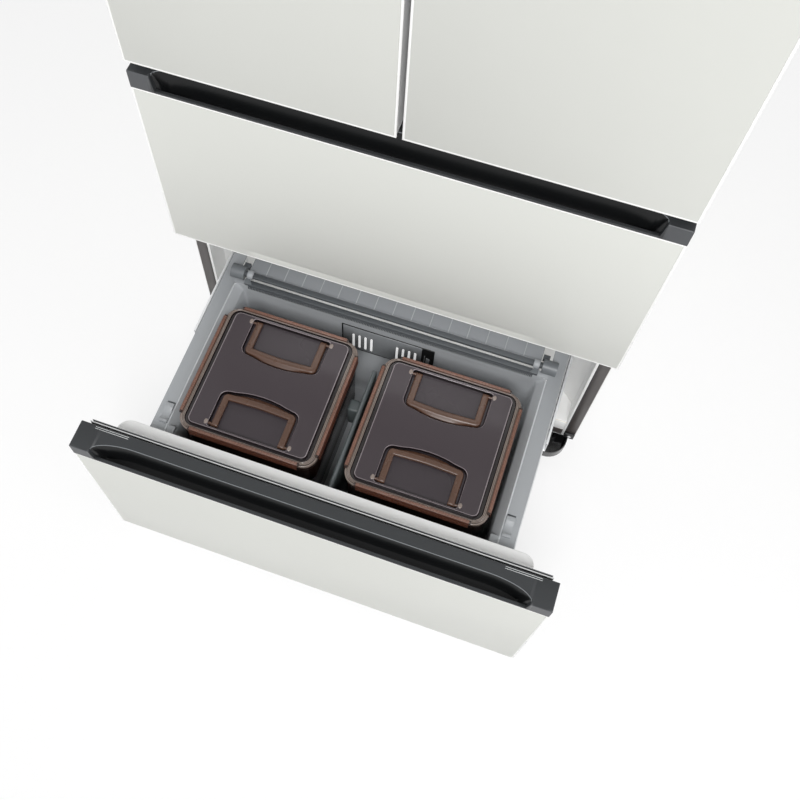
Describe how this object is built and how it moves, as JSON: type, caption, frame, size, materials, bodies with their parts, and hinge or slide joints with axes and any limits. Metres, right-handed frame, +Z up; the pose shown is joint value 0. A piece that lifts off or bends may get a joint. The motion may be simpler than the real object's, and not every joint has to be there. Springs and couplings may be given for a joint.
{
  "type": "kimchi refrigerator",
  "caption": "Free-standing kimchi refrigerator with hinged upper doors over pull-out drawers, the lower drawer open with lidded, clip-sealed food containers in its tub.",
  "frame": {"origin": "centre of the bounding box's underside, on the floor, with the lower drawer open as in the picture", "axes": "+X to the viewer's right, +Y from the fronts towards the cabinet's back, +Z up"},
  "size_m": [0.795, 1.207, 1.853],
  "materials": {
    "painted_steel_white": "satin",
    "insulating_foam": "matt, porous",
    "white_liner": "soft gloss",
    "dark_frame": "satin",
    "zinc_steel": "zinc plated",
    "black_plastic": "fine grain",
    "black_steel": "satin",
    "clear_glass": "polished",
    "satin_white_panel": "satin",
    "grey_seal": "soft matt",
    "clear_plastic": "polished",
    "charcoal_plastic": "satin",
    "grey_plastic": "fine satin",
    "slide_steel": "zinc plated",
    "brown_translucent": "tinted, glossy",
    "purple_grey_lid": "tinted, glossy",
    "copper_brown_clip": "satin",
    "dark_brown_bail": "satin"
  },
  "bodies": {
    "cabinet": {"cabinet_shell": "painted_steel_white", "back_panel": "painted_steel_white", "cabinet_insulation": "insulating_foam", "upper_liner": "white_liner", "middle_liner": "white_liner", "lower_liner": "white_liner", "front_frame": "dark_frame", "base_pan": "zinc_steel", "base_tray": "black_plastic", "front_feet": "black_plastic", "door_hinges": "zinc_steel", "hinge_covers": "black_plastic", "compressor": "black_steel", "condenser": "zinc_steel", "machine_cover": "painted_steel_white", "shelves": "clear_glass", "lower_slide_outer": "slide_steel", "middle_slide_outer": "slide_steel"},
    "rear_rollers": {"rear_rollers": "black_plastic"},
    "condenser_fan": {"condenser_fan": "black_plastic"},
    "lower_drawer": {"lower_panel": "satin_white_panel", "lower_core": "white_liner", "lower_cap": "charcoal_plastic", "lower_gasket": "grey_seal", "lower_tub": "grey_plastic", "lower_grille": "grey_plastic", "lower_slide_inner": "slide_steel"},
    "lower_slide": {"lower_slide_middle": "slide_steel"},
    "middle_drawer": {"middle_panel": "satin_white_panel", "middle_core": "white_liner", "middle_cap": "charcoal_plastic", "middle_gasket": "grey_seal", "middle_tub": "grey_plastic", "middle_slide_inner": "slide_steel"},
    "middle_slide": {"middle_slide_middle": "slide_steel"},
    "lower_rear_cover": {"lower_rear_cover": "grey_plastic"},
    "left_door": {"left_door_panel": "satin_white_panel", "left_door_core": "white_liner", "left_door_gasket": "grey_seal", "left_door_bins": "clear_plastic"},
    "right_door": {"right_door_panel": "satin_white_panel", "right_door_core": "white_liner", "right_door_gasket": "grey_seal", "right_door_bins": "clear_plastic"},
    "left_container": {"left_container": "brown_translucent"},
    "left_lid": {"left_lid": "purple_grey_lid"},
    "left_clip_front": {"left_clip_front": "copper_brown_clip"},
    "left_clip_back": {"left_clip_back": "copper_brown_clip"},
    "left_clip_left": {"left_clip_left": "copper_brown_clip"},
    "left_clip_right": {"left_clip_right": "copper_brown_clip"},
    "left_bail_front": {"left_bail_front": "dark_brown_bail"},
    "left_bail_back": {"left_bail_back": "dark_brown_bail"},
    "right_container": {"right_container": "brown_translucent"},
    "right_lid": {"right_lid": "purple_grey_lid"},
    "right_clip_front": {"right_clip_front": "copper_brown_clip"},
    "right_clip_back": {"right_clip_back": "copper_brown_clip"},
    "right_clip_left": {"right_clip_left": "copper_brown_clip"},
    "right_clip_right": {"right_clip_right": "copper_brown_clip"},
    "right_bail_front": {"right_bail_front": "dark_brown_bail"},
    "right_bail_back": {"right_bail_back": "dark_brown_bail"}
  },
  "joints": [
    {"name": "left_door_hinge", "type": "hinge", "parent": "cabinet", "child": "left_door", "pos_m": [-0.3805, -0.1655, 0.8832], "axis": [0, 0, -1], "range_deg": [0, 120]},
    {"name": "right_door_hinge", "type": "hinge", "parent": "cabinet", "child": "right_door", "pos_m": [0.3805, -0.1655, 0.8832], "axis": [0, 0, 1], "range_deg": [0, 120]},
    {"name": "lower_drawer_slide", "type": "slide", "parent": "cabinet", "child": "lower_drawer", "axis": [0, -1, 0], "range_m": [-0.414, 0]},
    {"name": "lower_member_slide", "type": "slide", "parent": "cabinet", "child": "lower_slide", "axis": [0, -1, 0], "range_m": [-0.207, 0]},
    {"name": "middle_drawer_slide", "type": "slide", "parent": "cabinet", "child": "middle_drawer", "axis": [0, 1, 0], "range_m": [-0.414, 0]},
    {"name": "middle_member_slide", "type": "slide", "parent": "cabinet", "child": "middle_slide", "axis": [0, 1, 0], "range_m": [-0.207, 0]},
    {"name": "rear_cover_hinge", "type": "hinge", "parent": "lower_drawer", "child": "lower_rear_cover", "pos_m": [0, -0.1675, 0.3629], "axis": [1, 0, 0], "range_deg": [0, 40]},
    {"name": "roller_spin", "type": "hinge", "parent": "cabinet", "child": "rear_rollers", "pos_m": [0, 0.5435, 0.0165], "axis": [1, 0, 0], "continuous": true},
    {"name": "fan_spin", "type": "hinge", "parent": "cabinet", "child": "condenser_fan", "pos_m": [0, 0.4785, 0.131], "axis": [1, 0, 0], "continuous": true},
    {"name": "left_container_lift", "type": "slide", "parent": "lower_drawer", "child": "left_container", "axis": [0, 0, 1], "range_m": [0, 0.235]},
    {"name": "left_lid_lift", "type": "slide", "parent": "left_container", "child": "left_lid", "axis": [0, 0, 1], "range_m": [0, 0.08]},
    {"name": "left_clip_front_hinge", "type": "hinge", "parent": "left_lid", "child": "left_clip_front", "pos_m": [-0.154, -0.4883, 0.3744], "axis": [-1, 0, 0], "range_deg": [0, 135]},
    {"name": "left_clip_back_hinge", "type": "hinge", "parent": "left_lid", "child": "left_clip_back", "pos_m": [-0.154, -0.2427, 0.3744], "axis": [1, 0, 0], "range_deg": [0, 135]},
    {"name": "left_clip_left_hinge", "type": "hinge", "parent": "left_lid", "child": "left_clip_left", "pos_m": [-0.2773, -0.3655, 0.3744], "axis": [0, 1, 0], "range_deg": [0, 135]},
    {"name": "left_clip_right_hinge", "type": "hinge", "parent": "left_lid", "child": "left_clip_right", "pos_m": [-0.0307, -0.3655, 0.3744], "axis": [0, -1, 0], "range_deg": [0, 135]},
    {"name": "left_bail_front_hinge", "type": "hinge", "parent": "left_lid", "child": "left_bail_front", "pos_m": [-0.154, -0.4675, 0.37385], "axis": [1, 0, 0], "range_deg": [0, 90]},
    {"name": "left_bail_back_hinge", "type": "hinge", "parent": "left_lid", "child": "left_bail_back", "pos_m": [-0.154, -0.2635, 0.37385], "axis": [-1, 0, 0], "range_deg": [0, 90]},
    {"name": "right_container_lift", "type": "slide", "parent": "lower_drawer", "child": "right_container", "axis": [0, 0, 1], "range_m": [0, 0.235]},
    {"name": "right_lid_lift", "type": "slide", "parent": "right_container", "child": "right_lid", "axis": [0, 0, 1], "range_m": [0, 0.08]},
    {"name": "right_clip_front_hinge", "type": "hinge", "parent": "right_lid", "child": "right_clip_front", "pos_m": [0.144, -0.4883, 0.3744], "axis": [-1, 0, 0], "range_deg": [0, 135]},
    {"name": "right_clip_back_hinge", "type": "hinge", "parent": "right_lid", "child": "right_clip_back", "pos_m": [0.144, -0.2427, 0.3744], "axis": [1, 0, 0], "range_deg": [0, 135]},
    {"name": "right_clip_left_hinge", "type": "hinge", "parent": "right_lid", "child": "right_clip_left", "pos_m": [0.0207, -0.3655, 0.3744], "axis": [0, 1, 0], "range_deg": [0, 135]},
    {"name": "right_clip_right_hinge", "type": "hinge", "parent": "right_lid", "child": "right_clip_right", "pos_m": [0.2673, -0.3655, 0.3744], "axis": [0, -1, 0], "range_deg": [0, 135]},
    {"name": "right_bail_front_hinge", "type": "hinge", "parent": "right_lid", "child": "right_bail_front", "pos_m": [0.144, -0.4675, 0.37385], "axis": [1, 0, 0], "range_deg": [0, 90]},
    {"name": "right_bail_back_hinge", "type": "hinge", "parent": "right_lid", "child": "right_bail_back", "pos_m": [0.144, -0.2635, 0.37385], "axis": [-1, 0, 0], "range_deg": [0, 90]}
  ],
  "couplings": [
    {"joint": "lower_member_slide", "follows": "lower_drawer_slide", "ratio": 0.5},
    {"joint": "middle_member_slide", "follows": "middle_drawer_slide", "ratio": 0.5}
  ]
}
